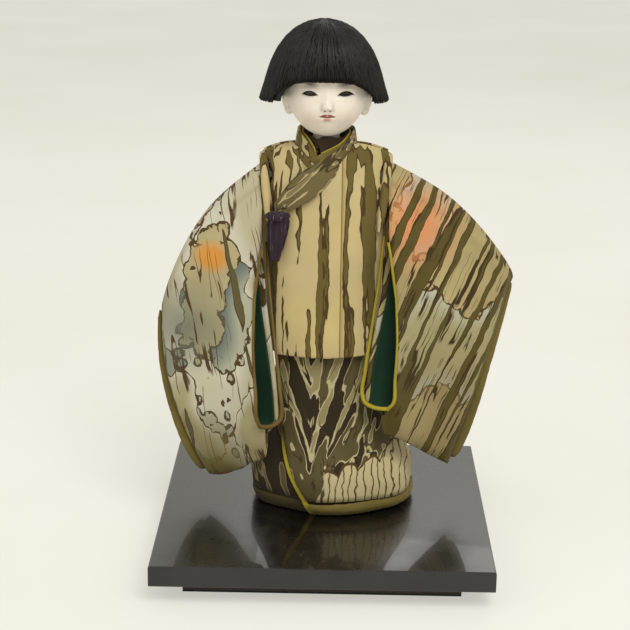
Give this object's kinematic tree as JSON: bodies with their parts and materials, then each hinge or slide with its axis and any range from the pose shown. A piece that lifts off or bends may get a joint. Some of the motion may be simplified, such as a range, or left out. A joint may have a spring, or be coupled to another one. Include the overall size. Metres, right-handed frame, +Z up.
{
  "type": "ichimatsu doll",
  "caption": "Standing child doll with bobbed hair, padded kimono with long hanging sleeves and a tied vest, with a turning head and posable arms, on a lacquered square board.",
  "frame": {"origin": "middle of the felt's underside, below the middle of the board", "axes": "+Z up along the doll's height; the doll faces -Y; +X to the doll's left"},
  "size_m": [0.2482, 0.22, 0.355],
  "materials": {
    "lacquer": "black satin lacquer",
    "dark_wood": "stained",
    "pale_wood": "bare",
    "felt": "felt",
    "steel": "plain",
    "shell_white": "polished shell powder on a wood-paste core",
    "eye_glass": "polished",
    "black_hair": "straight combed fibre",
    "cotton": "wadding",
    "cream_cloth": "printed silk, cream ground",
    "bark_cloth": "printed silk, bark-like streaks",
    "olive_cloth": "plain silk",
    "brown_cloth": "plain silk",
    "green_cloth": "plain silk lining",
    "yellow_cloth": "plain silk edging",
    "purple_cloth": "crepe ribbon"
  },
  "bodies": {
    "base": {"base_board": "lacquer", "base_plinth": "dark_wood", "base_felt": "felt", "plinth_screw_1": "steel", "plinth_screw_2": "steel", "plinth_screw_3": "steel", "plinth_screw_4": "steel", "stand_post": "pale_wood"},
    "doll": {"torso_core": "pale_wood", "neck_socket": "dark_wood", "torso_padding": "cotton", "skirt_wadding": "cotton", "right_leg": "pale_wood", "left_leg": "pale_wood", "right_foot": "cotton", "left_foot": "cotton", "kimono_body": "bark_cloth", "kimono_overlap": "cream_cloth", "hem_roll_body": "olive_cloth", "hem_roll_overlap": "olive_cloth", "overlap_edging": "yellow_cloth", "waist_cord": "olive_cloth", "vest_collar_left": "bark_cloth", "vest_collar_right": "cream_cloth", "kimono_collar_left": "olive_cloth", "kimono_collar_right": "olive_cloth", "inner_collar": "brown_cloth", "vest_back": "bark_cloth", "vest_right_front": "cream_cloth", "vest_left_front": "cream_cloth", "tie_knot": "purple_cloth", "tie_loop_rear": "purple_cloth", "tie_loop_front": "purple_cloth"},
    "head": {"head_shell": "shell_white", "right_eye": "eye_glass", "left_eye": "eye_glass", "neck_peg": "pale_wood", "hair": "black_hair"},
    "right_shoulder": {"right_shoulder_dowel": "pale_wood", "right_shoulder_pin": "steel"},
    "right_arm": {"right_arm_rod": "steel", "right_arm_padding": "cotton", "right_hand": "shell_white", "right_sleeve": "cream_cloth", "right_sleeve_lining": "green_cloth", "right_sleeve_piping": "yellow_cloth", "right_cuff_roll": "olive_cloth"},
    "left_shoulder": {"left_shoulder_dowel": "pale_wood", "left_shoulder_pin": "steel"},
    "left_arm": {"left_arm_rod": "steel", "left_arm_padding": "cotton", "left_hand": "shell_white", "left_sleeve": "bark_cloth", "left_sleeve_lining": "green_cloth", "left_sleeve_piping": "yellow_cloth", "left_cuff_roll": "olive_cloth"}
  },
  "joints": [
    {"name": "doll_lift", "type": "slide", "parent": "base", "child": "doll", "axis": [0, 0, 1], "range_m": [0, 0.13]},
    {"name": "head_turn", "type": "hinge", "parent": "doll", "child": "head", "pos_m": [-0.002, 0.02, 0.2765], "axis": [0, 0, 1], "range_deg": [-30, 30]},
    {"name": "right_arm_swing", "type": "hinge", "parent": "doll", "child": "right_shoulder", "pos_m": [-0.041, 0.02, 0.2525], "axis": [-1, 0, 0], "range_deg": [0, 20]},
    {"name": "right_arm_raise", "type": "hinge", "parent": "right_shoulder", "child": "right_arm", "pos_m": [-0.041, 0.02, 0.2525], "axis": [0, 0.9954, -0.0958], "range_deg": [0, 30]},
    {"name": "left_arm_swing", "type": "hinge", "parent": "doll", "child": "left_shoulder", "pos_m": [0.037, 0.02, 0.2525], "axis": [-1, 0, 0], "range_deg": [0, 20]},
    {"name": "left_arm_raise", "type": "hinge", "parent": "left_shoulder", "child": "left_arm", "pos_m": [0.037, 0.02, 0.2525], "axis": [0, -0.9936, 0.1132], "range_deg": [0, 30]}
  ]
}
